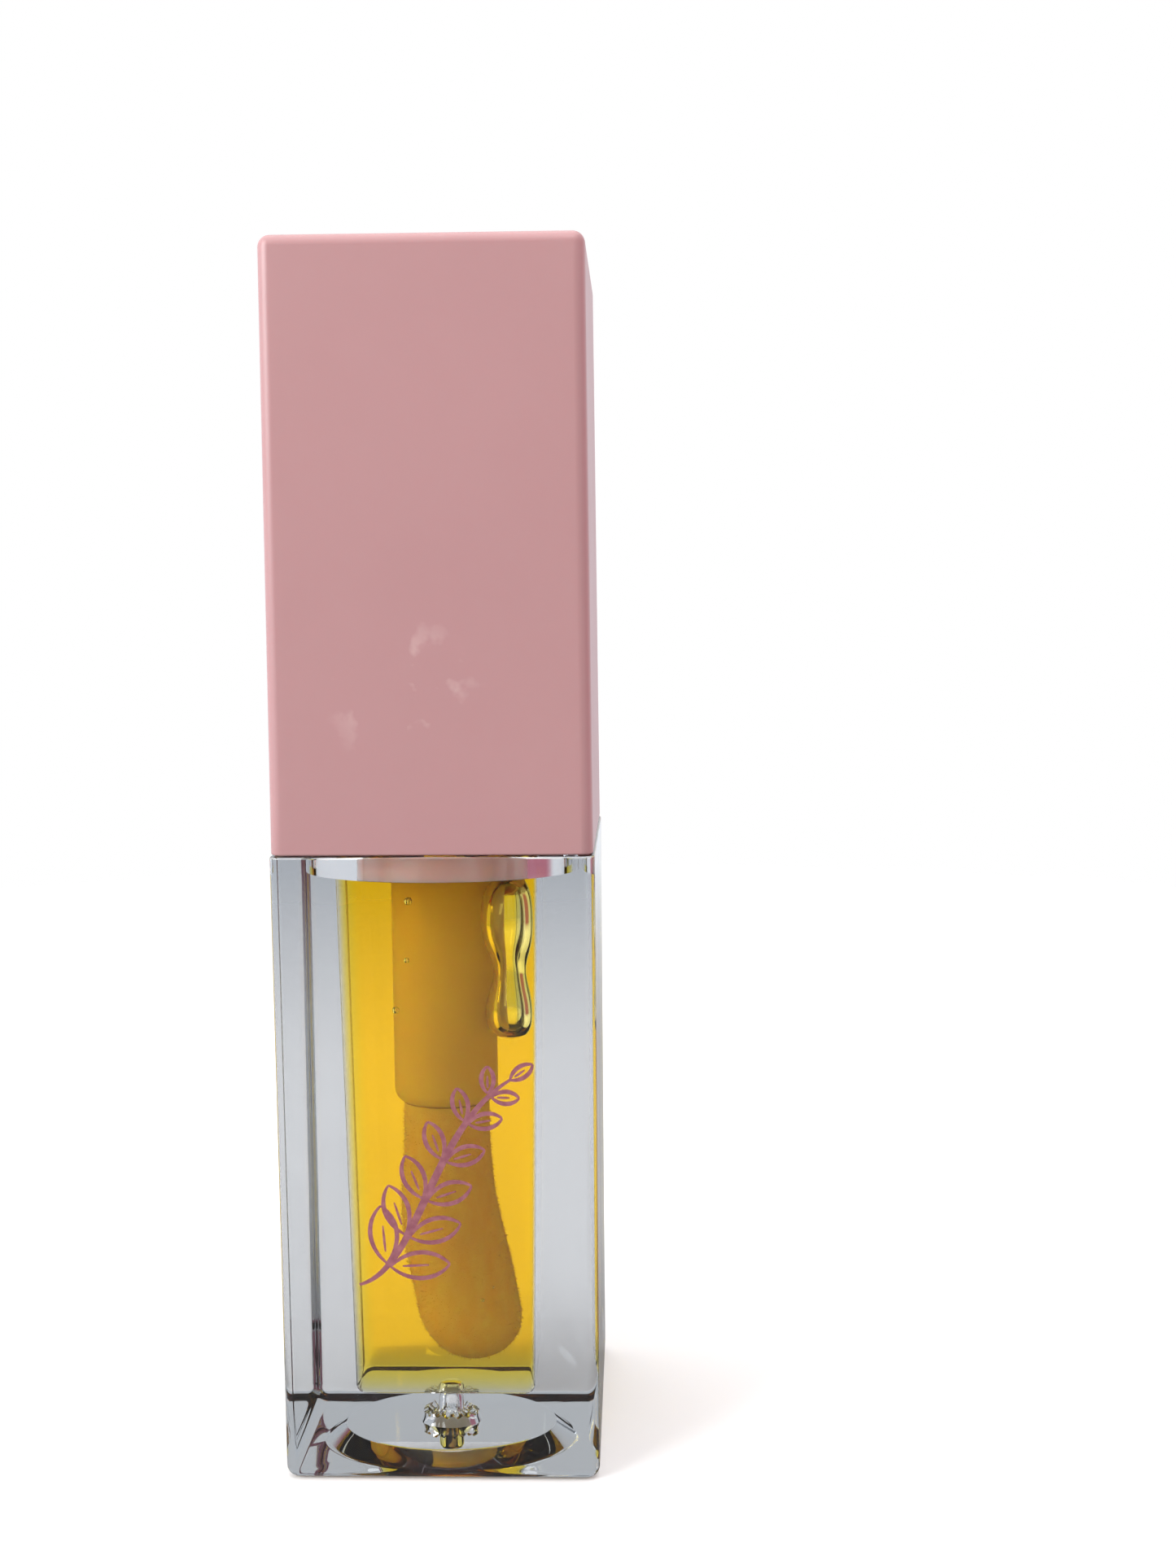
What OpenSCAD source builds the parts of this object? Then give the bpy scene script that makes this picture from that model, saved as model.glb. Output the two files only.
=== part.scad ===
// Square lip gloss tube: thick clear body, threaded neck insert, screw cap and wand.
// The origin is at the middle of the base, on the surface the tube stands on. +Z points up.

/* [Body] */
// Width of the square body
body_w = 21; // [18:0.5:26]
// Height of the body from its foot to its shoulder
body_h = 42; // [36:0.5:52]
// Solid base under the oil chamber
base_t = 4.7; // [4.5:0.1:7]
// Rounding of the outer edges of the body and the cap
edge_r = 0.8; // [0.4:0.1:1.2]
// Wall beside the chamber, at the chamber's top
side_wall = 3.85; // [3:0.05:4.5]
// How far each side of the chamber leans in on the way down to its floor
chamber_draft = 0.55; // [0.2:0.05:0.8]
// Rounding of the chamber's upright corners
chamber_r = 0.8; // [0.6:0.1:2.4]

/* [Base recess] */
// Flat foot left between the recess and the side of the body
foot_w = 1.75; // [1.2:0.05:2.5]
// Height of the recess
recess_h = 1.2; // [0.8:0.05:1.8]
// How far the recess wall leans in on the way up
recess_lean = 1.45; // [0.5:0.05:2]
// Width of the rough dimple around the moulding gate
gate_dimple_d = 4.2; // [3:0.1:5]
// Height of the dimple above the recess's roof
gate_dimple_h = 0.85; // [0.2:0.05:1.2]
// Width of the pit where the gate was snapped off
gate_pit_d = 1.8; // [1:0.1:2.4]
// Height of the pit above the recess's roof
gate_pit_h = 2.2; // [1:0.1:2.4]

/* [Neck] */
// Height of the threaded neck above the shoulder
neck_h = 11.5; // [10:0.5:14]
// Wall of the neck
neck_wall = 1.2; // [0.9:0.1:1.5]
// Thickness of the neck insert's flange, sunk into the body
flange_t = 1.8; // [1.2:0.1:2.5]
// Flange left around the chamber's corners
flange_land = 0.1; // [0.05:0.05:0.5]
// Lead of the thread, which the cap climbs in one turn
thread_lead = 3; // [2.6:0.1:3.4]
// Height of the thread ridges
thread_h = 0.7; // [0.5:0.05:0.9]
// Turns of thread on the neck
neck_turns = 1.5; // [1:0.25:1.75]
// Turns of thread in the cap
cap_turns = 1.25; // [0.75:0.25:1.5]

/* [Wiper and washer] */
// Wall of the wiper sleeve
wiper_wall = 0.8; // [0.6:0.1:1]
// Length of the wiper inside the neck
wiper_h = 9.5; // [8:0.5:11]
// Thickness of the wiper's flange on the neck's rim
wiper_flange_t = 0.7; // [0.5:0.1:1]
// Thickness of the foam washer under the cap's inner plate
washer_t = 1; // [0.6:0.1:1.5]

/* [Cap] */
// Height of the outer cap
cap_h = 38.9; // [32:0.1:48]
// How far each side of the cap's rim stands in from the body
cap_step = 0.1; // [0:0.05:0.4]
// Wall of the outer cap
cap_wall = 1.3; // [1:0.1:1.6]
// Thickness of the outer cap's top
cap_top_t = 1.6; // [1.2:0.1:2.5]
// How far each side of the cap leans in from its rim to its top
cap_draft = 0.2; // [0.1:0.05:0.5]
// Wall of the inner cap
inner_wall = 0.8; // [0.6:0.1:1]
// Thickness of the plate that closes the inner cap
inner_plate_t = 1.5; // [1.2:0.1:2]

/* [Wand] */
// Diameter of the wand's stem
stem_d = 7.1; // [5.5:0.1:7.5]
// Length of the stem held in the inner cap
stem_grip = 12; // [8:0.5:14]
// Wall of the boss that grips the stem
boss_wall = 1.3; // [1:0.1:1.8]
// Length of the applicator below the stem
tip_len = 18.4; // [14:0.2:20]
// Width of the applicator over its flock
tip_w = 7.3; // [5.5:0.1:7.5]
// Thickness of the applicator over its flock, from front to back
tip_t = 6; // [4.5:0.1:7]
// Thickness of the flock
flock_t = 0.35; // [0.2:0.05:0.5]
// Width of the applicator where it leaves the stem, over its flock
tip_neck_d = 6; // [4.5:0.1:6.5]
// Diameter of the plug that holds the applicator in the stem
plug_d = 3.6; // [2.5:0.1:4]
// Length of that plug
plug_len = 6; // [4:0.5:8]

/* [Clearances] */
// Between the cap's rim and the shoulder
rim_gap = 0.1; // [0.05:0.05:0.3]
// Between two pieces that are pushed together, on each side
press_gap = 0.05; // [0.02:0.01:0.1]
// Between the outer cap and the inner cap, on each side
nest_gap = 0.1; // [0.05:0.05:0.2]
// Between the crests and the roots of the threads
thread_gap = 0.15; // [0.1:0.05:0.25]
// Between the stem and what it slides or turns in
stem_gap = 0.08; // [0.05:0.01:0.1]
// Between the applicator and the chamber's floor
floor_gap = 0.9; // [0.5:0.1:2]
// Between the applicator and the chamber's side at the floor
side_gap = 0.75; // [0.4:0.05:1.5]
// Between the oil and the wand
oil_gap = 0.3; // [0.2:0.05:0.5]

/* [Hidden] */

cut = 0.2;                 // how far a cutting shape runs past the face it cuts
sheet = 0.01;              // thickness of the sheets that are hulled into tapered blocks
round_fn = 96;             // facets shown on round pieces
hull_fn = 32;              // facets on hulled roundings

// body
chamber_top_w = body_w - 2 * side_wall;
chamber_floor_w = chamber_top_w - 2 * chamber_draft;
roof_z = body_h - flange_t;
recess_d = body_w - 2 * foot_w;
recess_top_d = recess_d - 2 * recess_lean;
chamber_diagonal = (chamber_top_w - 2 * chamber_r) * sqrt(2) + 2 * chamber_r;
flange_d = chamber_diagonal + 2 * flange_land;
shoulder_h = 1;            // height of the straight stretch under the shoulder
dimple_taper = 0.8;        // how much narrower the dimple is at its top

// cap, from the outside in
rim_w = body_w - 2 * cap_step;
rim_z = body_h + rim_gap;
cap_top_z = rim_z + cap_h;
cap_ceiling_z = cap_top_z - cap_top_t;
plate_z = body_h + neck_h + wiper_flange_t + washer_t;
plate_top_z = plate_z + inner_plate_t;
liner_lift = 0.3;          // how far the inner cap's rim sits above the outer cap's
inner_rim_z = rim_z + liner_lift;
barrel_d = cavity_w(plate_top_z) - 2 * nest_gap;
inner_bore_d = barrel_d - 2 * inner_wall;
boss_d = stem_d + 2 * boss_wall;
cavity_r = 0.4;            // rounding of the cap's inside corners
rib_t = 1.2;
rib_h = 10;
rib_top_z = plate_top_z + rib_h;
collar_h = 2;              // height of the inner cap's square foot

// neck, inside the cap
thread_d = inner_bore_d - 2 * thread_gap;
neck_d = thread_d - 2 * thread_h;
neck_bore_d = neck_d - 2 * neck_wall;
neck_top_z = body_h + neck_h;
seal_margin = 0.2;         // how far the wiper's flange stays in from the neck's edge
seal_d = neck_d - 2 * seal_margin;
lip_t = 0.5;               // thickness of the wiper's lip
lip_funnel_h = 3;          // height of the funnel that leads down to the lip
sleeve_foot_h = 2.4;       // height of the taper under the wiper's sleeve

// thread: a ridge wider at its root than at its crest
crest_w = 0.7;
root_w = 1.5;
bury = 0.15;               // how deep a ridge's root sits in its wall
fade = 40;                 // degrees over which a ridge's end rises
step_deg = 10;
neck_thread_z = body_h + 3;
cap_ridge_h = thread_h - thread_gap;
cap_thread_turn = 90;      // where the cap's ridge starts, in degrees
// the cap's ridge hangs this far below the neck's, pulled up against its underside
cap_thread_drop = 1.2;

// wand
stem_collar_w = 1.2;
stem_collar_d = stem_d + 2 * stem_collar_w;
stem_collar_t = 0.8;
tip_bottom_z = base_t + floor_gap;
stem_bottom_z = tip_bottom_z + tip_len;
stem_top_z = plate_z + stem_grip;
stem_round = 1;
waist_share = 0.93;        // width of the applicator's upper swell against its lower one
waist_drop = 0.35;         // how far down the applicator that swell is, as a share of its length
tip_neck_h = 2;            // height of the straight neck under the stem
plug_root = 1;             // length of the plug that is sunk into the applicator
tip_lean = chamber_floor_w / 2 - tip_w / 2 - side_gap;

// width inside the outer cap at a height
function cavity_w(z) = rim_w - 2 * cap_wall - 2 * cap_draft * (z - rim_z) / cap_h;

// flat square plate with rounded corners, hulled into tapered blocks
module corner_plate(w, r, z, t) {
  for (x = [-1, 1], y = [-1, 1])
    translate([x * (w / 2 - r), y * (w / 2 - r), z]) cylinder(r = r, h = t, $fn = hull_fn);
}

// four balls at a block's corners, with their far side touching height z
module corner_balls(w, r, z) {
  for (x = [-1, 1], y = [-1, 1])
    translate([x * (w / 2 - r), y * (w / 2 - r), z]) sphere(r = r, $fn = hull_fn);
}

// oil chamber, drawn in from its walls by inset
module chamber(inset, top_z) {
  hull() {
    corner_plate(chamber_floor_w - 2 * inset, chamber_r - inset, base_t + inset, sheet);
    corner_plate(chamber_top_w - 2 * inset, chamber_r - inset, top_z - sheet, sheet);
  }
}

// helical ridge on a wall of radius r. It stands out by height, inwards if height is negative
module thread_ridge(r, height, z, start, turns) {
  way = sign(height);
  steps = round(turns * 360 / step_deg);
  function rise(i) = min(1, min(i, steps - i) * step_deg / fade);
  function at(i, out, up) =
    let (a = start + i * step_deg)
    [(r + out) * cos(a), (r + out) * sin(a), z + thread_lead * a / 360 + up];
  points = [for (i = [0:steps]) each [
    at(i, -way * bury, -root_w / 2),
    at(i, height * rise(i), -crest_w / 2),
    at(i, height * rise(i), crest_w / 2),
    at(i, -way * bury, root_w / 2)]];
  sides = [for (i = [0:steps - 1], k = [0:3])
    let (p = 4 * i + k, q = 4 * i + (k + 1) % 4)
    way > 0 ? [p, q, q + 4, p + 4] : [p + 4, q + 4, q, p]];
  first = [0, 1, 2, 3];
  last = [4 * steps + 3, 4 * steps + 2, 4 * steps + 1, 4 * steps];
  ends = way > 0 ? [[3, 2, 1, 0], [for (k = [0:3]) 4 * steps + k]] : [first, last];
  polyhedron(points, concat(sides, ends), convexity = 10);
}

// applicator's outline, drawn in from the flock's surface by inset
module tip_shape(inset) {
  end_r = tip_w / 2;
  waist_r = waist_share * end_r;
  waist_z = stem_bottom_z - waist_drop * tip_len;
  squash = (tip_t / 2 - inset) / (end_r - inset);
  scale([1, squash, 1]) hull() {
    translate([0, 0, waist_z]) sphere(r = waist_r - inset, $fn = hull_fn);
    translate([tip_lean, 0, tip_bottom_z + end_r]) sphere(r = end_r - inset, $fn = hull_fn);
  }
  hull() {
    translate([0, 0, waist_z]) scale([1, squash, 1]) sphere(r = waist_r - inset, $fn = hull_fn);
    translate([0, 0, stem_bottom_z - tip_neck_h])
      cylinder(d = tip_neck_d - 2 * inset, h = tip_neck_h, $fn = hull_fn);
  }
}

module bottle() {
  color("white", 0.35) difference() {
    hull() {
      corner_balls(body_w, edge_r, edge_r);
      corner_plate(body_w, edge_r, body_h - shoulder_h, shoulder_h);
    }
    chamber(0, roof_z + cut);
    translate([0, 0, roof_z]) cylinder(d = flange_d + 2 * press_gap, h = flange_t + cut, $fn = round_fn);
    base_recess();
  }
}

// recess under the base, with a leaning wall, a flat roof, and the moulding gate's dimple and pit
module base_recess() {
  slope = recess_lean / recess_h;
  translate([0, 0, -cut])
    cylinder(d1 = recess_d + 2 * slope * cut, d2 = recess_top_d, h = recess_h + cut, $fn = round_fn);
  translate([0, 0, recess_h - cut])
    cylinder(d1 = gate_dimple_d, d2 = gate_dimple_d - dimple_taper, h = gate_dimple_h + cut,
             $fn = round_fn);
  translate([0, 0, recess_h - cut]) cylinder(d = gate_pit_d, h = gate_pit_h + cut, $fn = round_fn);
}

module neck_insert() {
  color("mistyrose") difference() {
    union() {
      translate([0, 0, roof_z]) cylinder(d = flange_d, h = flange_t, $fn = round_fn);
      translate([0, 0, roof_z]) cylinder(d = neck_d, h = neck_top_z - roof_z, $fn = round_fn);
      thread_ridge(neck_d / 2, thread_h, neck_thread_z, 0, neck_turns);
    }
    translate([0, 0, roof_z - cut])
      cylinder(d = neck_bore_d, h = neck_top_z - roof_z + 2 * cut, $fn = round_fn);
  }
}

// soft plug in the neck: a sleeve that narrows to a lip around the stem
module wiper() {
  sleeve_r = neck_bore_d / 2 - press_gap;
  lip_r = stem_d / 2 + stem_gap;
  low_z = neck_top_z - wiper_h;
  inner_r = max(lip_r, sleeve_r - wiper_wall);
  color("whitesmoke") rotate_extrude($fn = round_fn) polygon([
    [inner_r, neck_top_z + wiper_flange_t],
    [inner_r, low_z + lip_funnel_h],
    [lip_r, low_z + lip_t],
    [lip_r, low_z],
    [lip_r + lip_t, low_z],
    [sleeve_r, low_z + sleeve_foot_h],
    [sleeve_r, neck_top_z],
    [seal_d / 2, neck_top_z],
    [seal_d / 2, neck_top_z + wiper_flange_t]]);
}

// oil that fills the chamber around the wand
module lip_oil() {
  color("gold", 0.6) difference() {
    chamber(press_gap, roof_z - press_gap);
    translate([0, 0, stem_bottom_z - oil_gap])
      cylinder(d = stem_d + 2 * oil_gap, h = roof_z, $fn = round_fn);
    tip_shape(-oil_gap);
  }
}

module seal_washer() {
  color("white") difference() {
    translate([0, 0, neck_top_z + wiper_flange_t]) cylinder(d = seal_d, h = washer_t, $fn = round_fn);
    translate([0, 0, neck_top_z])
      cylinder(d = stem_d + 2 * stem_gap, h = wiper_flange_t + washer_t + cut, $fn = round_fn);
  }
}

// threaded liner fixed in the outer cap. Its boss grips the stem
module inner_cap() {
  color("lightpink") difference() {
    union() {
      translate([0, 0, inner_rim_z]) cylinder(d = barrel_d, h = plate_top_z - inner_rim_z, $fn = round_fn);
      square_collar();
      translate([0, 0, plate_z]) cylinder(d = boss_d, h = cap_ceiling_z - plate_z, $fn = round_fn);
      for (turn = [0, 90]) rotate([0, 0, turn]) cross_rib();
    }
    difference() {
      translate([0, 0, inner_rim_z - cut])
        cylinder(d = inner_bore_d, h = plate_z - inner_rim_z + cut, $fn = round_fn);
      thread_ridge(inner_bore_d / 2, -cap_ridge_h, neck_thread_z - cap_thread_drop,
                   cap_thread_turn, cap_turns);
    }
    translate([0, 0, plate_z - cut])
      cylinder(d = stem_d + 2 * press_gap, h = stem_grip + cut, $fn = round_fn);
    translate([0, 0, plate_z - cut])
      cylinder(d = stem_collar_d + 2 * press_gap, h = stem_collar_t + cut, $fn = round_fn);
  }
}

// square foot of the inner cap, which keeps it from turning in the outer cap
module square_collar() {
  w = cavity_w(inner_rim_z + collar_h) - 2 * nest_gap;
  translate([-w / 2, -w / 2, inner_rim_z]) cube([w, w, collar_h]);
}

// rib from wall to wall that steadies the boss
module cross_rib() {
  w = cavity_w(rib_top_z) - 2 * nest_gap;
  translate([-w / 2, -rib_t / 2, plate_top_z - cut]) cube([w, rib_t, rib_h + cut]);
}

module outer_cap() {
  top_w = rim_w - 2 * cap_draft;
  color("rosybrown") difference() {
    hull() {
      corner_plate(rim_w, edge_r, rim_z, sheet);
      corner_balls(top_w, edge_r, cap_top_z - edge_r);
    }
    hull() {
      corner_plate(cavity_w(rim_z - cut), cavity_r, rim_z - cut, sheet);
      corner_plate(cavity_w(cap_ceiling_z), cavity_r, cap_ceiling_z - sheet, sheet);
    }
  }
}

module wand_stem() {
  color("ivory") difference() {
    rotate_extrude($fn = round_fn) union() {
      translate([0, stem_bottom_z + stem_round])
        square([stem_d / 2, stem_top_z - stem_bottom_z - stem_round]);
      translate([0, stem_bottom_z]) square([stem_d / 2 - stem_round, stem_round + cut]);
      intersection() {
        translate([stem_d / 2 - stem_round, stem_bottom_z + stem_round])
          circle(r = stem_round, $fn = round_fn);
        translate([0, stem_bottom_z]) square([stem_d / 2, stem_round + cut]);
      }
      translate([0, plate_z]) square([stem_collar_d / 2, stem_collar_t]);
    }
    translate([0, 0, stem_bottom_z - cut]) cylinder(d = plug_d, h = plug_len + cut, $fn = round_fn);
  }
}

// flexible core of the applicator, with the plug that is pushed into the stem
module applicator_core() {
  color("bisque") union() {
    intersection() {
      tip_shape(flock_t);
      translate([-body_w, -body_w, 0]) cube([2 * body_w, 2 * body_w, stem_bottom_z]);
    }
    translate([0, 0, stem_bottom_z - plug_root])
      cylinder(d = plug_d - 2 * press_gap, h = plug_len + plug_root - press_gap, $fn = round_fn);
  }
}

// short fibres glued all over the core
module flock_coat() {
  color("moccasin") difference() {
    tip_shape(0);
    tip_shape(flock_t);
    translate([0, 0, stem_bottom_z - cut])
      cylinder(d = tip_neck_d - 2 * flock_t, h = 2 * cut, $fn = hull_fn);
  }
}

bottle();
neck_insert();
wiper();
lip_oil();
seal_washer();
inner_cap();
outer_cap();
wand_stem();
applicator_core();
flock_coat();
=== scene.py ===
# %% [markdown]
# # A square tube of lip oil
# The real tube is a thick block of clear plastic with a square well of golden oil, a milky neck
# insert, a pink screw cap, and a wand whose soft tip hangs in the oil. The CAD model already
# holds every place, size and motion. What is left is the look: how the plastic bends light, how
# the oil takes its colour from its depth, and how the soft, printed and polished parts catch the
# light.

# %% Load the frame
import bmesh
import bpy
import math
import random
from mathutils import Matrix, Vector


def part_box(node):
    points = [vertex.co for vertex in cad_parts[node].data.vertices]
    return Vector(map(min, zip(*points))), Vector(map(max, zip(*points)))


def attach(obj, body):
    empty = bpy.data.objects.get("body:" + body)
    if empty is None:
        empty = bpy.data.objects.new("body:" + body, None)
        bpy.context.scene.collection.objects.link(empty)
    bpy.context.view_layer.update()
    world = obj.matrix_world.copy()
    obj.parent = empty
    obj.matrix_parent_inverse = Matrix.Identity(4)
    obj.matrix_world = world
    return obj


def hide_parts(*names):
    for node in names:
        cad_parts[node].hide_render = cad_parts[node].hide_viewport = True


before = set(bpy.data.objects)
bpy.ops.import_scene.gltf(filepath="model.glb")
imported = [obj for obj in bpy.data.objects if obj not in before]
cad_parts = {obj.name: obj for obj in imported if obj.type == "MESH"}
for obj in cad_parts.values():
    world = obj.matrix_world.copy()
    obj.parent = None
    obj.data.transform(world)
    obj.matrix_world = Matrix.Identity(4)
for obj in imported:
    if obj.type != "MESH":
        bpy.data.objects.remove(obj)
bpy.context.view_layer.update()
MM = 0.001
print("CAD nodes:", sorted(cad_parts))

# %% [markdown]
# ## Camera
# A phone held close, a little to the tube's right and higher than its clear body, looks slightly
# down and sees it in strong perspective. A camera in Blender looks along its own -Z axis, so its
# place is a matrix whose columns are right, up and backwards. Building that from three angles
# keeps each angle readable, where a Track To constraint would hide the slight roll of a hand-held
# camera.

# %% Aim the camera
camera_place = Vector((13.28, -118.8, 58.66)) * MM
camera_yaw, camera_pitch, camera_roll = (math.radians(a) for a in (-1.67, -6.32, -0.5))

def camera_matrix():
    ahead = Vector((math.sin(camera_yaw) * math.cos(camera_pitch),
                    math.cos(camera_yaw) * math.cos(camera_pitch), math.sin(camera_pitch)))
    level = Vector((math.cos(camera_yaw), -math.sin(camera_yaw), 0))
    above = level.cross(ahead)
    right = math.cos(camera_roll) * level + math.sin(camera_roll) * above
    up = math.cos(camera_roll) * above - math.sin(camera_roll) * level
    matrix = Matrix((right, up, -ahead)).transposed().to_4x4()
    matrix.translation = camera_place
    return matrix

camera_data = bpy.data.cameras.new("camera")
camera_data.sensor_width = 36
camera_data.lens = 39.446
camera_data.clip_start = 0.005
camera = bpy.data.objects.new("camera", camera_data)
camera.matrix_world = camera_matrix()
bpy.context.scene.collection.objects.link(camera)
bpy.context.scene.camera = camera
print("camera to tube, mm:", round(camera_place.length / MM))

# %% [markdown]
# ## Places from the CAD model
# A box around each CAD node tells where a piece starts and ends. Reading those boxes, and not
# typing their numbers again, means that the looks follow when the CAD model changes. Only wall
# shapes that a box can't tell, such as a slope or a rounding, are named further down.

# %% Read the boxes
bottle_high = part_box("bottle")[1]
oil_low, oil_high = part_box("lip_oil")
cap_low, cap_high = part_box("outer_cap")
insert_low, insert_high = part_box("neck_insert")
stem_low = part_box("wand_stem")[0]
tip_low, tip_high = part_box("flock_coat")
core_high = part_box("applicator_core")[1]

half = bottle_high.x
shoulder_z = bottle_high.z
roof_z = insert_low.z
wall_film = 0.05 * MM
base_z = oil_low.z - wall_film
chamber_top = oil_high.x + wall_film
chamber_lean = 0.55 * MM
chamber_floor = chamber_top - chamber_lean
socket_r = insert_high.x + wall_film
print("body half width, shoulder mm:", round(half / MM, 3), round(shoulder_z / MM, 3))
print("chamber mm:", round(2 * chamber_top / MM, 2), "to", round(2 * chamber_floor / MM, 2))

# %% [markdown]
# ## Rings that change shape on the way
# The clear body is square outside, square with soft corners inside, and round at the socket and
# under the base. A lathe can't turn that, and a box with bevels can't join it. A loft can: rings
# with the same number of points, some round and some square, are stacked, and each is stitched to
# the next. One loft makes one closed skin, which a material that light passes through needs.

# %% Round and square rings
side_steps = 36
corner_steps = 12
ring_points = 4 * (side_steps + corner_steps)

def circle(radius, z, middle=(0.0, 0.0)):
    turn = 2 * math.pi / ring_points
    return [Vector((middle[0] + radius * math.cos(i * turn),
                    middle[1] + radius * math.sin(i * turn), z)) for i in range(ring_points)]

def square(half_width, corner, z):
    straight = half_width - corner
    quarter = [(half_width, straight * 2 * i / side_steps) for i in range(side_steps // 2)]
    for i in range(corner_steps):
        angle = math.pi / 2 * i / corner_steps
        quarter.append((straight + corner * math.cos(angle), straight + corner * math.sin(angle)))
    quarter += [(straight * (1 - 2 * i / side_steps), half_width) for i in range(side_steps // 2)]
    ring = []
    for c, s in ((1, 0), (0, 1), (-1, 0), (0, -1)):
        ring += [Vector((c * x - s * y, s * x + c * y, z)) for x, y in quarter]
    return ring

def rounding(radius, steps=8):
    """Steps (in, along) around a corner: in from the wall, along from the end of the wall."""
    angles = [math.pi / 2 * i / steps for i in range(steps + 1)]
    return [(radius * (1 - math.cos(a)), radius * math.sin(a)) for a in angles]

print("points in a ring:", ring_points)

# %% [markdown]
# Stitching is the same for every loft: a face between each pair of neighbours, and a fan of
# triangles over each end. Some skins need a mark on some of their faces, such as the walls that
# the oil wets. A float attribute on the faces carries that mark to the material.

# %% Stitch rings and finish a mesh
def stitch(bm, rings):
    """Adds a closed skin over a stack of rings, and returns its faces by step."""
    stack = [[bm.verts.new(point) for point in ring] for ring in rings]
    count = len(rings[0])
    steps = []
    for low, high in zip(stack, stack[1:]):
        steps.append([bm.faces.new((low[i], low[(i + 1) % count], high[(i + 1) % count], high[i]))
                      for i in range(count)])
    for ring, step in ((stack[0], steps[0]), (stack[-1], steps[-1])):
        middle = bm.verts.new(sum((v.co for v in ring), Vector()) / count)
        step += [bm.faces.new((ring[i], ring[(i + 1) % count], middle)) for i in range(count)]
    return steps

def new_piece(name, bm, material, body, sharp_angle=35):
    mesh = bpy.data.meshes.new(name)
    bm.to_mesh(mesh)
    bm.free()
    mesh.polygons.foreach_set("use_smooth", [True] * len(mesh.polygons))
    mesh.set_sharp_from_angle(angle=math.radians(sharp_angle))
    mesh.materials.append(material)
    piece = bpy.data.objects.new(name, mesh)
    bpy.context.scene.collection.objects.link(piece)
    shading = piece.modifiers.new("flat faces stay flat", "WEIGHTED_NORMAL")
    shading.keep_sharp = True
    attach(piece, body)
    print(name, "faces:", len(mesh.polygons))
    return piece

# %% [markdown]
# ## How a finish is wired
# Most finishes here are one Principled shader with small touches: a noise that shifts the colour
# a little, a noise that varies the gloss, and a bump for the mould's or the fibre's grain. Doing
# that wiring once, in helpers, keeps each finish down to the numbers that make it.

# %% Helpers for finishes
def new_material(name):
    material = bpy.data.materials.new(name)
    material.use_nodes = True
    nodes = material.node_tree.nodes
    return material, nodes, material.node_tree.links, nodes["Principled BSDF"]

def noise(nodes, links, scale, detail=2.0, stretch=(1, 1, 1)):
    """Noise in the piece's own metres, so its grain keeps its real size."""
    place = nodes.new("ShaderNodeTexCoord")
    mapping = nodes.new("ShaderNodeMapping")
    mapping.inputs["Scale"].default_value = stretch
    texture = nodes.new("ShaderNodeTexNoise")
    texture.inputs["Scale"].default_value = scale
    texture.inputs["Detail"].default_value = detail
    links.new(place.outputs["Object"], mapping.inputs["Vector"])
    links.new(mapping.outputs["Vector"], texture.inputs["Vector"])
    return texture.outputs["Fac"]

def ramp(nodes, links, value, stops):
    """Turns a value into a colour through stops of (position, colour)."""
    node = nodes.new("ShaderNodeValToRGB")
    elements = node.color_ramp.elements
    while len(elements) < len(stops):
        elements.new(0.5)
    for element, (position, colour) in zip(elements, stops):
        element.position = position
        element.color = (*colour, 1)
    links.new(value, node.inputs["Fac"])
    return node.outputs["Color"]

def spread(nodes, links, value, low, high):
    node = nodes.new("ShaderNodeMapRange")
    node.inputs["To Min"].default_value = low
    node.inputs["To Max"].default_value = high
    links.new(value, node.inputs["Value"])
    return node.outputs["Result"]

def grain(nodes, links, shader, value, depth, strength=0.2):
    bump = nodes.new("ShaderNodeBump")
    bump.inputs["Strength"].default_value = strength
    bump.inputs["Distance"].default_value = depth
    links.new(value, bump.inputs["Height"])
    links.new(bump.outputs["Normal"], shader.inputs["Normal"])

# %% [markdown]
# ## Clear plastic and oil
# Light bends at each border by the ratio of the two materials. The plastic meets air outside, but
# in the chamber it meets oil, which bends light nearly as much as plastic does. If the walls
# there kept the ratio to air, the well of oil would look like a block of mirrors. So the faces
# that the oil wets carry a mark, and the mark sets the ratio of plastic to oil there. One
# material does both, because Cycles follows a ray in and out of a volume by its material. The
# plastic also takes up a little light, which turns it grey-blue where it is thick.

# %% Clear plastic
ior_plastic = 1.57
ior_oil = 1.47
plastic_density = 41   # per metre

def ior_by_mark(nodes, links, shader, mark, plain, marked):
    shader.inputs["IOR"].default_value = plain
    reader = nodes.new("ShaderNodeAttribute")
    reader.attribute_name = mark
    blend = nodes.new("ShaderNodeMapRange")
    blend.inputs["To Min"].default_value = plain
    blend.inputs["To Max"].default_value = marked
    links.new(reader.outputs["Fac"], blend.inputs["Value"])
    links.new(blend.outputs["Result"], shader.inputs["IOR"])

def clear_finish(name, colour, tint, density):
    material, nodes, links, shader = new_material(name)
    shader.inputs["Base Color"].default_value = (*colour, 1)
    shader.inputs["Transmission Weight"].default_value = 1
    shader.inputs["Roughness"].default_value = 0
    depth = nodes.new("ShaderNodeVolumeAbsorption")
    depth.inputs["Color"].default_value = (*tint, 1)
    depth.inputs["Density"].default_value = density
    links.new(depth.outputs["Volume"], nodes["Material Output"].inputs["Volume"])
    return material, nodes, links, shader

def clear_plastic():
    material, nodes, links, shader = clear_finish("clear_plastic", (0.99, 0.995, 1),
                                                  (0.10, 0.145, 0.18), plastic_density)
    ior_by_mark(nodes, links, shader, "wetted", ior_plastic, ior_plastic / ior_oil)
    grain(nodes, links, shader, noise(nodes, links, 160), 0.15 * MM, 0.07)
    return material

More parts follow.
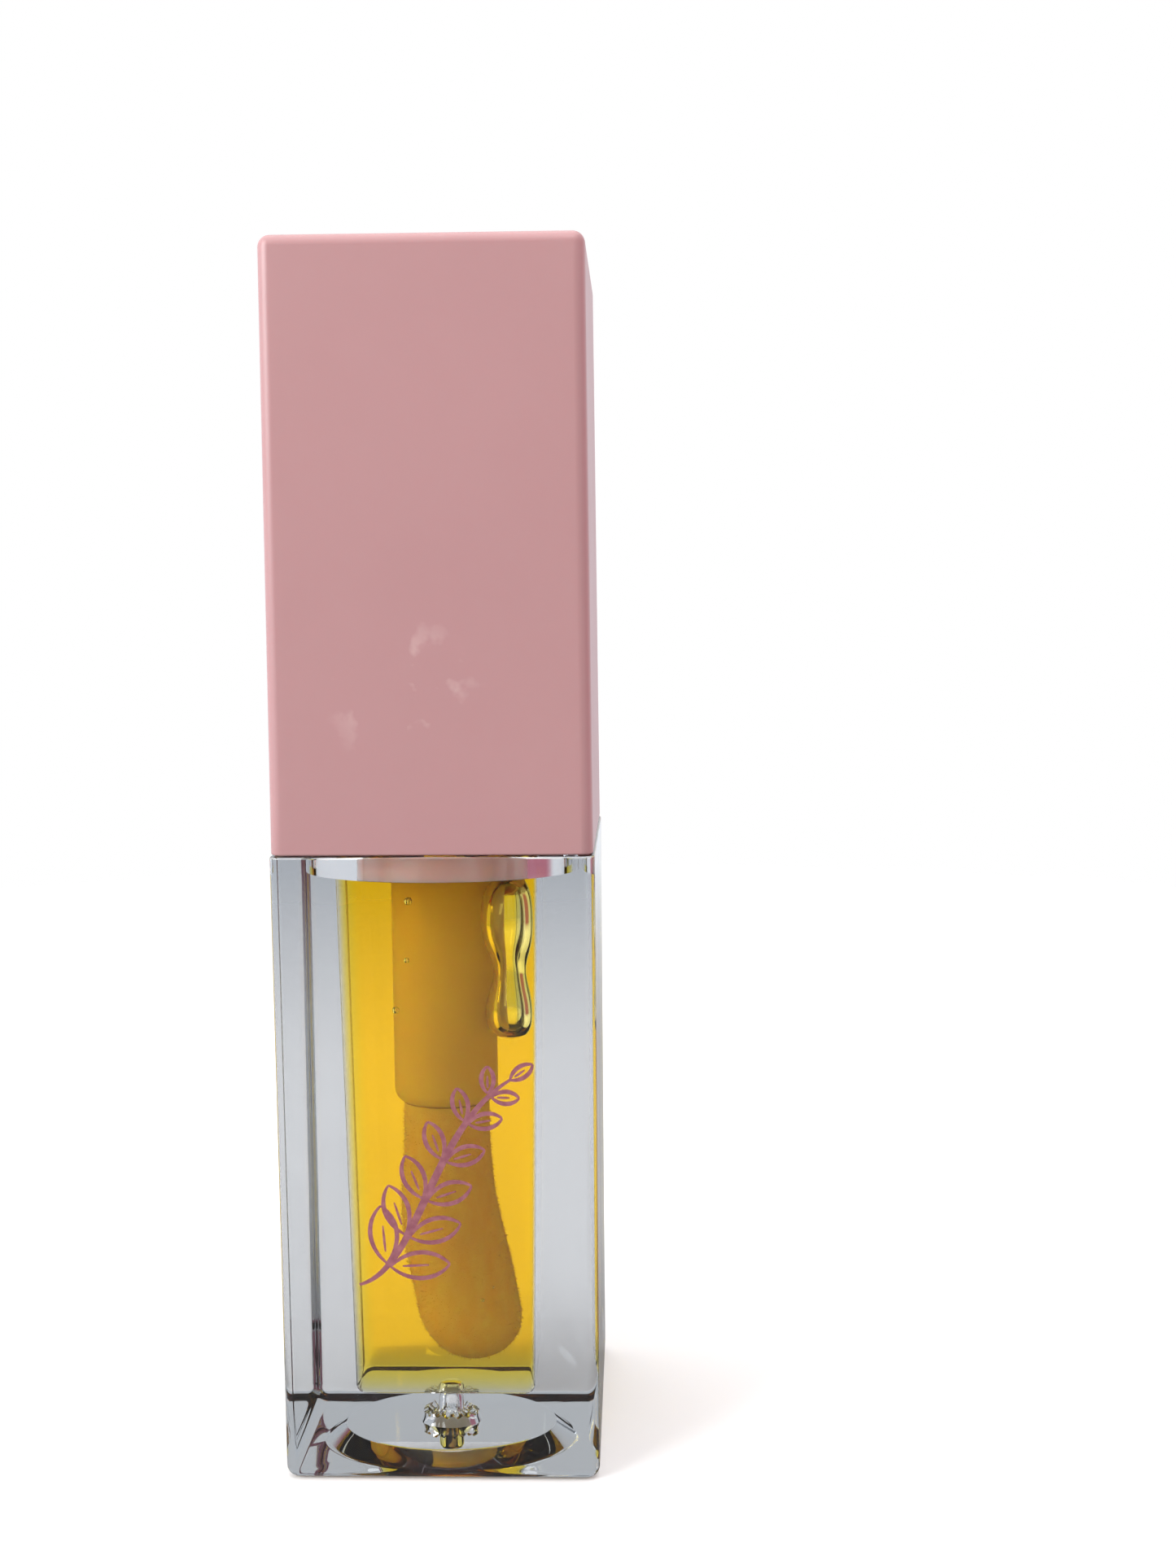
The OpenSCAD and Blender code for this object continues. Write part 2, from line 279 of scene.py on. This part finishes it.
clear = clear_plastic()
print("ratio at a wetted wall:", round(ior_plastic / ior_oil, 3))

# %% [markdown]
# The oil has no border of its own against the plastic, only colour that deepens with its
# thickness: volume absorption, with blue taken up first. Where a bubble of air is caught in it,
# the ratio is that of oil to air, and the bubble's edge turns bright and dark as it does in life.

# %% Golden oil
oil_density = 440   # per metre

def golden_oil():
    material, nodes, links, shader = clear_finish("lip_oil", (1, 1, 1), (0.985, 0.888, 0.03),
                                                  oil_density)
    ior_by_mark(nodes, links, shader, "meets_air", 1.0, ior_oil)
    return material

oil_finish = golden_oil()
print("ratio at a bubble:", ior_oil)

# %% [markdown]
# ## The clear body
# On the real tube this is one thick moulding: flat walls with polished edges, a tapered square
# chamber, a round socket for the neck insert, and a shallow dish under the base with the scar of
# the moulding gate in its middle. The dish and its scar matter a lot, because the thick base
# works as a lens and shows them large. The loft walks the whole skin in one go: from the
# chamber's floor up its walls, over the shoulder, down the outside, and in under the base to the
# gate.

# %% Sizes that the boxes can't tell
edge_r = 0.8 * MM
edge_plan_r = 0.85 * MM
chamber_r = 0.8 * MM
chamber_foot_r = 0.6 * MM
lip_r = 0.15 * MM
foot_w = 1.75 * MM
recess_lean = 1.45 * MM
recess_mouth_r = half - foot_w
recess_top_r = recess_mouth_r - recess_lean
recess_roof_z = 1.2 * MM
scar_r = 2.1 * MM
scar_h = 0.85 * MM
gate_r = 0.9 * MM
gate_h = 2.2 * MM
print("recess mm:", round(2 * recess_mouth_r / MM, 2), "to", round(2 * recess_top_r / MM, 2))

# %% Loft the body
def chamber_rings(inset, foot_z, top_z):
    rings = [square(share * (chamber_floor - inset), share * chamber_r, foot_z)
             for share in (0.2, 0.6)]
    for inward, along in reversed(rounding(chamber_foot_r)):
        rings.append(square(chamber_floor - inset - inward, chamber_r - inset - inward,
                            foot_z + chamber_foot_r - along))
    rings.append(square(chamber_top - inset, chamber_r - inset, top_z))
    return rings

def shoulder_and_outside_rings():
    rings = [circle(socket_r, roof_z), circle(socket_r, shoulder_z - lip_r),
             circle(socket_r + lip_r, shoulder_z)]
    for inward, along in reversed(rounding(lip_r, 4)):
        rings.append(square(half - inward, edge_plan_r - inward, shoulder_z - lip_r + along))
    for inward, along in rounding(edge_r):
        rings.append(square(half - inward, edge_plan_r - inward, edge_r - along))
    return rings

def gate_rings():
    """Broken plastic around the gate's pit: small facets, each tilted by chance."""
    dice = random.Random(4)
    tilt = [dice.uniform(-1, 1) for _ in range(16)]
    def broken(radius, z, rough):
        ring = circle(radius, z)
        for i, point in enumerate(ring):
            lobe = tilt[i * len(tilt) // ring_points]
            point.z += rough * (lobe + math.sin(len(tilt) * 2 * math.pi * i / ring_points))
        return ring
    scar = [circle(scar_r, recess_roof_z), circle(scar_r - lip_r, recess_roof_z + 0.5 * scar_h),
            broken(0.92 * scar_r, recess_roof_z + 0.85 * scar_h, 0.1 * MM),
            broken(0.78 * scar_r, recess_roof_z + scar_h, 0.14 * MM),
            broken(0.62 * scar_r, recess_roof_z + 0.7 * scar_h, 0.1 * MM),
            broken(gate_r + lip_r, recess_roof_z + 0.9 * scar_h, 0.05 * MM),
            circle(gate_r, recess_roof_z + scar_h + lip_r)]
    domed_end = ((0.97, 0.4 * MM), (0.8, 0.12 * MM), (0.45, 0.02 * MM), (0.1, 0))
    return scar + [circle(share * gate_r, recess_roof_z + gate_h - below)
                   for share, below in domed_end]

def recess_rings():
    slope = recess_lean / recess_roof_z
    return [circle(recess_mouth_r + lip_r, 0), circle(recess_mouth_r - slope * lip_r, lip_r),
            circle(recess_top_r + slope * lip_r, recess_roof_z - lip_r),
            circle(recess_top_r + 0.3 * slope * lip_r, recess_roof_z - 0.2 * lip_r),
            circle(recess_top_r - lip_r, recess_roof_z)]

def clear_body():
    chamber = chamber_rings(0, base_z, roof_z)
    bm = bmesh.new()
    wetted = bm.faces.layers.float.new("wetted")
    steps = stitch(bm, chamber + shoulder_and_outside_rings() + recess_rings() + gate_rings())
    for step in steps[:len(chamber) - 1]:
        for face in step:
            face[wetted] = 1.0
    bmesh.ops.recalc_face_normals(bm, faces=bm.faces)
    piece = new_piece("clear_body", bm, clear, "tube_body")
    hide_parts("bottle")

clear_body()

# %% [markdown]
# ## The oil and its bubbles
# The oil fills the chamber up to the neck insert, but for a long bubble that hangs in the right
# corner and clings to the wall, pinched in its middle as it creeps upwards. A bubble is a hole in
# the oil, so it is a second closed skin in the same mesh with its faces turned inwards. It is a
# stack of ovals whose size follows a formula, with blunt ends, a pinch and a slow wave, wobbled a
# little by chance. A second loft inside the first does this well, where a boolean cut would leave
# ragged faces. A few specks of air near the front wall are made the same way.

# %% Fill the chamber
oil_gap = 0.01 * MM
bubble_low_z = 28.8 * MM
bubble_half_w = 1.75 * MM
bubble_half_d = 2.0 * MM
bubble_waist = 0.3

def bubble_rings(middle, half_w, half_d, z_low, z_high, waist, seed):
    """A standing bubble. waist is how far it is pinched in its middle."""
    dice = random.Random(seed)
    waves = [(k, dice.uniform(0, 6.28), dice.uniform(0.01, 0.035)) for k in (1, 2, 3)]
    rings = []
    levels = 40
    for level in range(levels):
        t = (level + 0.5) / levels
        end = 1 - abs(2 * t - 1) ** 7
        pinch = 1 - waist * math.exp(-((t - 0.42) / 0.13) ** 2)
        width = math.sqrt(end) * pinch * (1 + 0.07 * math.sin(9 * t + waves[0][1]))
        z = z_low + (z_high - z_low) * t
        ring = []
        for i in range(ring_points):
            a = 2 * math.pi * i / ring_points
            wobble = sum(size * math.sin(k * a + shift + 3 * k * t) for k, shift, size in waves)
            swell = width * (1 + wobble)
            ring.append(Vector((middle.x + half_w * swell * math.cos(a),
                                middle.y + half_d * swell * math.sin(a), z)))
        rings.append(ring)
    return rings

def add_hole(bm, mark, rings):
    before = set(bm.faces)
    stitch(bm, rings)
    hole = [face for face in bm.faces if face not in before]
    bmesh.ops.recalc_face_normals(bm, faces=hole)
    bmesh.ops.reverse_faces(bm, faces=hole)
    for face in hole:
        face[mark] = 1.0

def lip_oil():
    bm = bmesh.new()
    meets_air = bm.faces.layers.float.new("meets_air")
    rings = chamber_rings(oil_gap, base_z + oil_gap, oil_high.z)
    stitch(bm, rings + [square(0.5 * chamber_top, 0.5 * chamber_r, oil_high.z)])
    bmesh.ops.recalc_face_normals(bm, faces=bm.faces)
    corner = Vector((chamber_top - bubble_half_w - 0.3 * MM, -2.6 * MM, 0))
    add_hole(bm, meets_air, bubble_rings(corner, bubble_half_w, bubble_half_d, bubble_low_z,
                                         oil_high.z - 0.1 * MM, bubble_waist, 3))
    # Middle and radius of each speck, in mm
    specks = ((-2.1, -5.4, 34.6, 0.16), (-2.9, -5.2, 31.2, 0.22), (-1.9, -5.6, 38.6, 0.25),
              (2.6, -5.3, 11.2, 0.1), (3.3, -5.3, 12.1, 0.08))
    for number, (x, y, z, radius) in enumerate(specks):
        middle = Vector((x, y, 0)) * MM
        add_hole(bm, meets_air, bubble_rings(middle, radius * MM, radius * MM, (z - radius) * MM,
                                             (z + radius) * MM, 0.0, 10 + number))
    piece = new_piece("lip_oil_fill", bm, oil_finish, "tube_body")
    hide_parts("lip_oil")

lip_oil()

# %% [markdown]
# ## The flocked tip
# The real applicator is a soft core covered in short nylon fibres, thick at its foot and leaning
# to one side so that it follows the lip. Its outline is smooth from end to end, so it suits a
# loft of ovals whose middle and width follow two soft steps. A sculpted sphere could do the same,
# but a formula keeps it inside the space that the CAD model sets aside.

# %% Shape the tip
tip_half_w = 3.65 * MM
tip_half_t = tip_high.y
tip_neck_r = 3.0 * MM
tip_end_h = 3.6 * MM
flock_depth = 0.06 * MM
tip_lean = tip_high.x - tip_half_w
plug_r = 1.75 * MM

def soft_step(value):
    t = min(1.0, max(0.0, value))
    return t * t * (3 - 2 * t)

def tip_section(down):
    """Middle, half width and half thickness at a share of the way down from the stem."""
    z = stem_low.z - down * (stem_low.z - tip_low.z)
    middle = tip_lean * soft_step((down - 0.3) / 0.7)
    grow = soft_step((down - 0.1) / 0.52)
    wide = tip_neck_r + (tip_half_w - tip_neck_r) * grow
    thick = tip_neck_r + (tip_half_t - tip_neck_r) * grow
    left = (z - tip_low.z) / tip_end_h
    end = math.sqrt(max(0.0, 1 - (1 - left) ** 2)) if left < 1 else 1.0
    return z, middle, (wide - flock_depth) * end, (thick - flock_depth) * end

def oval(z, middle, wide, thick):
    turn = 2 * math.pi / ring_points
    return [Vector((middle + wide * math.cos(i * turn), thick * math.sin(i * turn), z))
            for i in range(ring_points)]

def tip_rings():
    rings = [circle(0.9 * plug_r, core_high.z), circle(plug_r, core_high.z - lip_r),
             circle(plug_r, stem_low.z)]
    rings += [oval(*tip_section(i / 40)) for i in range(36)]
    for i in range(1, 16):
        end = 0.875 + 0.125 * math.sin(math.pi / 2 * i / 16)
        rings.append(oval(*tip_section(end)))
    return rings

# %% [markdown]
# Wet flock looks like soft skin with a faint fuzz. The finish is a warm cream that light enters a
# little way (subsurface), with a fine grain of fibre ends.

# %% Finish of the flock
def wet_flock():
    material, nodes, links, shader = new_material("flock")
    shade = noise(nodes, links, 900, 4, (1, 1, 0.4))
    links.new(ramp(nodes, links, shade, ((0.3, (0.98, 0.63, 0.29)), (0.7, (1.0, 0.74, 0.38)))),
              shader.inputs["Base Color"])
    shader.inputs["Roughness"].default_value = 0.75
    shader.inputs["IOR"].default_value = 1.1
    shader.inputs["Subsurface Weight"].default_value = 0.6
    shader.inputs["Subsurface Radius"].default_value = (1, 0.6, 0.4)
    shader.inputs["Subsurface Scale"].default_value = 1.2 * MM
    grain(nodes, links, shader, noise(nodes, links, 9000, 3), 0.06 * MM, 0.5)
    return material

flock_finish = wet_flock()

def flocked_tip():
    bm = bmesh.new()
    stitch(bm, tip_rings())
    bmesh.ops.recalc_face_normals(bm, faces=bm.faces)
    piece = new_piece("flocked_tip", bm, flock_finish, "cap_and_wand", 60)
    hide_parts("applicator_core", "flock_coat")

flocked_tip()

# %% [markdown]
# The fuzz itself is thousands of short fibres that stand out from the tip, each tilted by chance.
# Blender's hair could grow them, but hair isn't a mesh and doesn't export. A fibre here is a thin
# three-sided spike, closed at its root, and all the spikes share one mesh.

# %% Plant the fibres
fibre_count = 5200
fibre_long = 0.3 * MM
fibre_r = 0.022 * MM
fibre_root = 0.03 * MM

def fibre(bm, root, way, length):
    side = way.orthogonal().normalized()
    other = way.cross(side)
    base = [bm.verts.new(root + fibre_r * (math.cos(a) * side + math.sin(a) * other))
            for a in (0, 2 * math.pi / 3, 4 * math.pi / 3)]
    point = bm.verts.new(root + length * way)
    bm.faces.new(reversed(base))
    for i in range(3):
        bm.faces.new((base[i], base[(i + 1) % 3], point))

def tip_fuzz():
    dice = random.Random(11)
    bm = bmesh.new()
    for _ in range(fibre_count):
        down = dice.uniform(0.03, 0.995)
        angle = dice.uniform(0, 2 * math.pi)
        z, middle, wide, thick = tip_section(down)
        root = Vector((middle + wide * math.cos(angle), thick * math.sin(angle), z))
        sink = max(0.0, 1 - (z - tip_low.z) / tip_end_h)
        out = Vector((math.cos(angle), math.sin(angle), -1.3 * sink))
        chance = Vector([dice.uniform(-0.45, 0.45) for _ in range(3)])
        way = (out.normalized() + chance).normalized()
        fibre(bm, root - fibre_root * way, way, fibre_long * dice.uniform(0.5, 1))
    new_piece("flock_fibres", bm, flock_finish, "cap_and_wand", 180)

tip_fuzz()

# %% [markdown]
# ## The outer cap
# The cap is a square sleeve of polished pink plastic that narrows a little towards its top. Its
# edges are rounded, and the bright line along each rounding is what makes it read as moulded
# plastic. One loft goes from the ceiling inside, down to the rim and up the outside.

# %% Loft the cap
cap_half = cap_high.x
cap_lean = 0.2 * MM
cap_top_half = cap_half - cap_lean
cap_edge_r = 0.75 * MM
cap_plan_r = 0.8 * MM
cap_wall = 1.3 * MM
cap_top_t = 1.6 * MM
cap_ceiling_z = cap_high.z - cap_top_t
cap_rim_r = 0.12 * MM
inside_r = 0.4 * MM

def cap_half_at(z):
    share = (z - cap_low.z) / (cap_high.z - cap_low.z)
    return cap_half - cap_lean * share

def cap_rings():
    inside_top = cap_half_at(cap_ceiling_z) - cap_wall
    rings = [square(0.3 * inside_top, inside_r, cap_ceiling_z),
             square(inside_top, inside_r, cap_ceiling_z),
             square(cap_half - cap_wall, inside_r, cap_low.z + cap_rim_r),
             square(cap_half - cap_wall + cap_rim_r, inside_r + cap_rim_r, cap_low.z)]
    for inward, along in reversed(rounding(cap_rim_r, 4)):
        rings.append(square(cap_half - inward, cap_plan_r - inward, cap_low.z + cap_rim_r - along))
    levels = 12
    rim_top_z, edge_foot_z = cap_low.z + cap_rim_r, cap_high.z - cap_edge_r
    for level in range(1, levels + 1):
        z = rim_top_z + (edge_foot_z - rim_top_z) * level / levels
        rings.append(square(cap_half_at(z), cap_plan_r, z))
    for inward, along in rounding(cap_edge_r)[1:]:
        rings.append(square(cap_top_half - inward, max(0.04 * MM, cap_plan_r - inward),
                            cap_high.z - cap_edge_r + along))
    rings.append(square(0.4 * cap_top_half, 0.2 * cap_plan_r, cap_high.z))
    return rings

# %% [markdown]
# The pink plastic is glossy but not a mirror: a soft clouding in the colour, faint finger marks
# that dull the gloss, and a fine grain from the mould. A few dried smears of oil sit low on the
# front. They are a noise cut to small islands and kept to that area by a soft ball mask.

# %% Finish of the cap
def islands(nodes, links, middle, reach, scale, cut):
    """1 on small blots within reach of a point, 0 elsewhere."""
    place = nodes.new("ShaderNodeTexCoord")
    offset = nodes.new("ShaderNodeVectorMath")
    offset.operation = "DISTANCE"
    offset.inputs[1].default_value = middle
    links.new(place.outputs["Object"], offset.inputs[0])
    near = nodes.new("ShaderNodeMapRange")
    near.inputs["From Min"].default_value = reach
    near.inputs["From Max"].default_value = 0.3 * reach
    links.new(offset.outputs["Value"], near.inputs["Value"])
    blots = nodes.new("ShaderNodeMapRange")
    blots.inputs["From Min"].default_value = cut
    blots.inputs["From Max"].default_value = cut + 0.08
    links.new(noise(nodes, links, scale, 3), blots.inputs["Value"])
    both = nodes.new("ShaderNodeMath")
    both.operation = "MULTIPLY"
    links.new(near.outputs["Result"], both.inputs[0])
    links.new(blots.outputs["Result"], both.inputs[1])
    return both.outputs["Value"]

smear_middle = Vector((-1.5, -10.3, 52.5)) * MM
smear_reach = 5.5 * MM

def pink_plastic():
    material, nodes, links, shader = new_material("pink_plastic")
    cloud = ramp(nodes, links, noise(nodes, links, 70, 4),
                 ((0.0, (0.475, 0.267, 0.274)), (1.0, (0.520, 0.299, 0.304))))
    smear = islands(nodes, links, smear_middle, smear_reach, 420, 0.58)
    mix = nodes.new("ShaderNodeMix")
    mix.data_type = "RGBA"
    mix.inputs[7].default_value = (0.62, 0.42, 0.42, 1)
    links.new(smear, mix.inputs[0])
    links.new(cloud, mix.inputs[6])
    links.new(mix.outputs[2], shader.inputs["Base Color"])
    links.new(spread(nodes, links, noise(nodes, links, 120, 3), 0.3, 0.4),
              shader.inputs["Roughness"])
    shader.inputs["Subsurface Weight"].default_value = 0.25
    shader.inputs["Subsurface Radius"].default_value = (1, 0.5, 0.5)
    shader.inputs["Subsurface Scale"].default_value = 1.0 * MM
    grain(nodes, links, shader, noise(nodes, links, 2200, 4), 0.01 * MM, 0.15)
    return material

def outer_cap():
    bm = bmesh.new()
    stitch(bm, cap_rings())
    bmesh.ops.recalc_face_normals(bm, faces=bm.faces)
    piece = new_piece("pink_cap", bm, pink_plastic(), "cap_and_wand")
    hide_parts("outer_cap")

outer_cap()

# %% [markdown]
# ## The printed sprig
# The front of the tube carries a drawing in mauve ink, laid on by a pad printer. Ink has a
# thickness of its own, so it is a thin mesh on the wall and not a picture. Each stroke is a
# ribbon along a curve, wide in its middle and thin at its ends, as a pen would draw it. The
# drawing is a plain leafy branch: one stem and leaves in pairs that shrink towards its tip.

# %% Draw with ribbons
ink_depth = 0.02 * MM
ink_face = -half - 0.004 * MM
twig_w = 0.5 * MM
outline_w = 0.3 * MM
vein_w = 0.16 * MM

def curve_points(a, b, c, d, steps=18):
    """Points along a Bezier curve with ends a and d."""
    points = []
    for i in range(steps + 1):
        t = i / steps
        u = 1 - t
        points.append(u ** 3 * a + 3 * u * u * t * b + 3 * u * t * t * c + t ** 3 * d)
    return points

def stroke(bm, points, width, thin, layer=0):
    """Ribbon that is this wide in its middle and a share, thin, of that at its ends."""
    back = ink_face - layer * 0.25 * ink_depth
    rings = []
    last = len(points) - 1
    for i, point in enumerate(points):
        ahead = (points[min(last, i + 1)] - points[max(0, i - 1)]).normalized()
        across = Vector((-ahead.y, ahead.x))
        share = thin + (1 - thin) * math.sin(math.pi * i / last) ** 0.8
        edge = 0.5 * width * share * across
        corners = (point + edge, point - edge)
        rings.append([bm.verts.new((p.x, back, p.y)) for p in corners]
                     + [bm.verts.new((p.x, back - ink_depth, p.y)) for p in corners[::-1]])
    for low, high in zip(rings, rings[1:]):
        for i in range(4):
            bm.faces.new((low[i], low[(i + 1) % 4], high[(i + 1) % 4], high[i]))
    bm.faces.new(rings[0])
    bm.faces.new(reversed(rings[-1]))

def leaf(bm, root, way, length, width, layer):
    """Outline of a leaf as two bowed strokes, and a short vein."""
    tip_point = root + length * way
    side = Vector((-way.y, way.x)) * width
    for number, bow in enumerate((side, -side)):
        edge = curve_points(root, root + 0.3 * length * way + bow,
                            root + 0.75 * length * way + bow, tip_point)
        stroke(bm, edge, outline_w, 0.45, layer + number)
    vein = [root + share * length * way for share in (0.2, 0.3, 0.45, 0.65)]
    stroke(bm, curve_points(*vein, 8), vein_w, 0.5, layer + 2)

def printed_sprig():
    bm = bmesh.new()
    foot, crown = Vector((-5.2, 13.6)) * MM, Vector((4.9, 27.4)) * MM
    stem_line = curve_points(foot, Vector((-1.2, 14.6)) * MM, Vector((-0.4, 24.2)) * MM, crown, 40)
    stroke(bm, stem_line, twig_w, 0.35)
    for pair, place in enumerate((7, 13, 19, 25, 31, 36)):
        ahead = (stem_line[place + 1] - stem_line[place - 1]).normalized()
        size = (3.9 - 0.42 * pair) * MM
        for hand in (1, -1):
            way = Matrix.Rotation(math.radians(46 * hand), 2) @ ahead
            root = stem_line[place] + 0.25 * MM * way
            leaf(bm, root, way, size, 0.3 * size, 1 if hand > 0 else 4)
    leaf(bm, crown, (crown - stem_line[-3]).normalized(), 1.8 * MM, 0.5 * MM, 1)
    bmesh.ops.recalc_face_normals(bm, faces=bm.faces)
    new_piece("printed_sprig", bm, mauve_ink(), "tube_body", sharp_angle=40)

# %% [markdown]
# Pad ink is thin, so its colour breaks up a little: a noise moves it between two mauves.

# %% Ink
def mauve_ink():
    material, nodes, links, shader = new_material("print_ink")
    mauves = ((0.35, (0.28, 0.09, 0.12)), (0.7, (0.39, 0.15, 0.18)))
    links.new(ramp(nodes, links, noise(nodes, links, 2500, 3), mauves),
              shader.inputs["Base Color"])
    shader.inputs["Roughness"].default_value = 0.45
    grain(nodes, links, shader, noise(nodes, links, 6000, 2), 0.01 * MM, 0.3)
    return material

printed_sprig()

# %% [markdown]
# ## Finishes for the pieces whose CAD shape is right
# The neck insert, wiper, washer, inner cap and stem are plain turned shapes, so their CAD meshes
# stay, and only their finish changes. Each plastic differs in how deep light goes into it.

# %% Finish the plain pieces
def moulded(name, colour, rough, ior=1.5, deep=0.0, radius=(1, 0.6, 0.4), grain_size=400,
            grain_depth=0.02):
    """Moulded plastic with a slight clouding, uneven gloss and a fine mould grain."""
    material, nodes, links, shader = new_material(name)
    dark = tuple(0.94 * c for c in colour)
    links.new(ramp(nodes, links, noise(nodes, links, 150, 3), ((0.3, dark), (0.7, colour))),
              shader.inputs["Base Color"])
    links.new(spread(nodes, links, noise(nodes, links, 300, 3), rough - 0.05, rough + 0.08),
              shader.inputs["Roughness"])
    shader.inputs["IOR"].default_value = ior
    shader.inputs["Subsurface Weight"].default_value = deep
    shader.inputs["Subsurface Radius"].default_value = radius
    shader.inputs["Subsurface Scale"].default_value = 1.5 * MM
    grain(nodes, links, shader, noise(nodes, links, grain_size, 3), grain_depth * MM, 0.25)
    return material

def finish_node(node, material):
    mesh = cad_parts[node].data
    mesh.materials.clear()
    mesh.materials.append(material)

# The neck insert is milky plastic. Its salmon pink is painted light: it stands in for the pink
# light that the cap around it throws into it.
finish_node("neck_insert", moulded("neck_plastic", (0.96, 0.56, 0.46), 0.36, 1.2, 1.0))
finish_node("wiper", moulded("wiper_plastic", (0.86, 0.84, 0.80), 0.45, 1.45, 0.4))
finish_node("seal_washer", moulded("washer_foam", (0.87, 0.87, 0.85), 0.85, 1.4, 0.2, (1, 1, 1),
                                   3500, 0.06))
finish_node("inner_cap", moulded("inner_cap_plastic", (0.62, 0.36, 0.38), 0.4, 1.5, 0.2))
finish_node("wand_stem", moulded("stem_plastic", (1.0, 0.70, 0.28), 0.42, 1.1, 0.7))

# %% [markdown]
# ## Floor, backdrop and light
# The tube stands on a pale floor in a bright, even studio. A pale disc that fades out at its edge
# needs no backdrop: beyond it the camera sees a white world. Clear plastic is another matter,
# because it only shows what is around it. In an all-white room it would vanish, so the world that
# light sees is pale blue at the horizon and white overhead, with a dim brown front for whoever
# stands there and a rose side, while the camera sees plain white. The floor is pale too, but grey
# in a mirror image: the polished front wall mirrors it, and a pale mirror image would wash out the
# oil behind that wall. Large soft lights from the left and above do the rest, a weak one lifts the
# right side, and a small lamp above the front gives the sharp highlights.

# %% Floor
floor_r = 260 * MM
floor_pale = (0.92, 0.92, 0.92)
floor_mirrored = (0.3, 0.3, 0.3)

def pale_floor():
    bm = bmesh.new()
    bmesh.ops.create_circle(bm, cap_ends=True, segments=128, radius=floor_r)
    bmesh.ops.translate(bm, verts=bm.verts, vec=(0, 0, -0.04 * MM))
    mesh = bpy.data.meshes.new("floor")
    bm.to_mesh(mesh)
    bm.free()
    floor = bpy.data.objects.new("floor", mesh)
    bpy.context.scene.collection.objects.link(floor)
    material, nodes, links, shader = new_material("floor_paint")
    shader.inputs["Roughness"].default_value = 0.8
    path = nodes.new("ShaderNodeLightPath")
    links.new(ramp(nodes, links, path.outputs["Is Reflection Ray"],
                   ((0, floor_pale), (1, floor_mirrored))), shader.inputs["Base Color"])
    place = nodes.new("ShaderNodeTexCoord")
    far = nodes.new("ShaderNodeVectorMath")
    far.operation = "LENGTH"
    fade = nodes.new("ShaderNodeMapRange")
    fade.inputs["From Min"].default_value = 0.98 * floor_r
    fade.inputs["From Max"].default_value = 0.4 * floor_r
    links.new(place.outputs["Object"], far.inputs[0])
    links.new(far.outputs["Value"], fade.inputs["Value"])
    links.new(fade.outputs["Result"], shader.inputs["Alpha"])
    mesh.materials.append(material)

pale_floor()

# %% World and lights
def zone(nodes, links, way, edge, core):
    """1 where the world lies within a cone around a direction, 0 outside it."""
    place = nodes.new("ShaderNodeTexCoord")
    angle = nodes.new("ShaderNodeVectorMath")
    angle.operation = "DOT_PRODUCT"
    angle.inputs[1].default_value = Vector(way).normalized()
    links.new(place.outputs["Generated"], angle.inputs[0])
    soft = nodes.new("ShaderNodeMapRange")
    soft.interpolation_type = "SMOOTHSTEP"
    soft.inputs["From Min"].default_value = edge
    soft.inputs["From Max"].default_value = core
    links.new(angle.outputs["Value"], soft.inputs["Value"])
    return soft.outputs["Result"]

def lay_over(nodes, links, under, colour, amount):
    mix = nodes.new("ShaderNodeMix")
    mix.data_type = "RGBA"
    mix.inputs[7].default_value = (*colour, 1)
    links.new(amount, mix.inputs[0])
    links.new(under, mix.inputs[6])
    return mix.outputs[2]

front_brown = (0.24, 0.12, 0.08)
side_rose = (0.55, 0.20, 0.27)

def studio_world():
    world = bpy.data.worlds.new("studio")
    world.use_nodes = True
    nodes, links = world.node_tree.nodes, world.node_tree.links
    place = nodes.new("ShaderNodeTexCoord")
    split = nodes.new("ShaderNodeSeparateXYZ")
    links.new(place.outputs["Generated"], split.inputs["Vector"])
    room = ramp(nodes, links, spread(nodes, links, split.outputs["Z"], 0.5, 1.0),
                ((0.5, (0.90, 0.94, 1.0)), (0.7, (0.95, 0.97, 1.0)), (1.0, (1, 1, 1))))
    room = lay_over(nodes, links, room, front_brown, zone(nodes, links, (0.1, -1, 0.25), 0.7, 0.92))
    room = lay_over(nodes, links, room, side_rose, zone(nodes, links, (1, 0, 0.15), 0.75, 0.92))
    seen_by_light = nodes["Background"]
    seen_by_light.inputs["Strength"].default_value = 1.0
    links.new(room, seen_by_light.inputs["Color"])
    seen_by_camera = nodes.new("ShaderNodeBackground")
    seen_by_camera.inputs["Color"].default_value = (1, 1, 1, 1)
    path = nodes.new("ShaderNodeLightPath")
    choose = nodes.new("ShaderNodeMixShader")
    links.new(path.outputs["Is Camera Ray"], choose.inputs["Fac"])
    links.new(seen_by_light.outputs["Background"], choose.inputs[1])
    links.new(seen_by_camera.outputs["Background"], choose.inputs[2])
    links.new(choose.outputs["Shader"], nodes["World Output"].inputs["Surface"])
    bpy.context.scene.world = world

aim = Vector((0, 0, 40 * MM))

def soft_light(name, place, size, power, mirrored=True):
    """Square light aimed at the tube. It shows in glass and gloss only if it is mirrored."""
    data = bpy.data.lights.new(name, "AREA")
    data.size = size
    data.energy = power
    light = bpy.data.objects.new(name, data)
    light.location = place
    light.rotation_euler = (aim - light.location).to_track_quat("-Z", "Y").to_euler()
    light.visible_camera = False
    light.visible_glossy = mirrored
    light.visible_transmission = mirrored
    bpy.context.scene.collection.objects.link(light)

studio_world()
soft_light("ceiling", (0.0, 0.05, 0.6), 0.6, 1.0)
soft_light("left_window", (-0.45, -0.3, 0.3), 0.35, 3.4)
soft_light("right_fill", (0.5, -0.1, 0.3), 0.3, 0.8, mirrored=False)
soft_light("lamp", (0.12, -0.5, 0.75), 0.05, 0.8)
bpy.context.scene.view_settings.view_transform = "Standard"
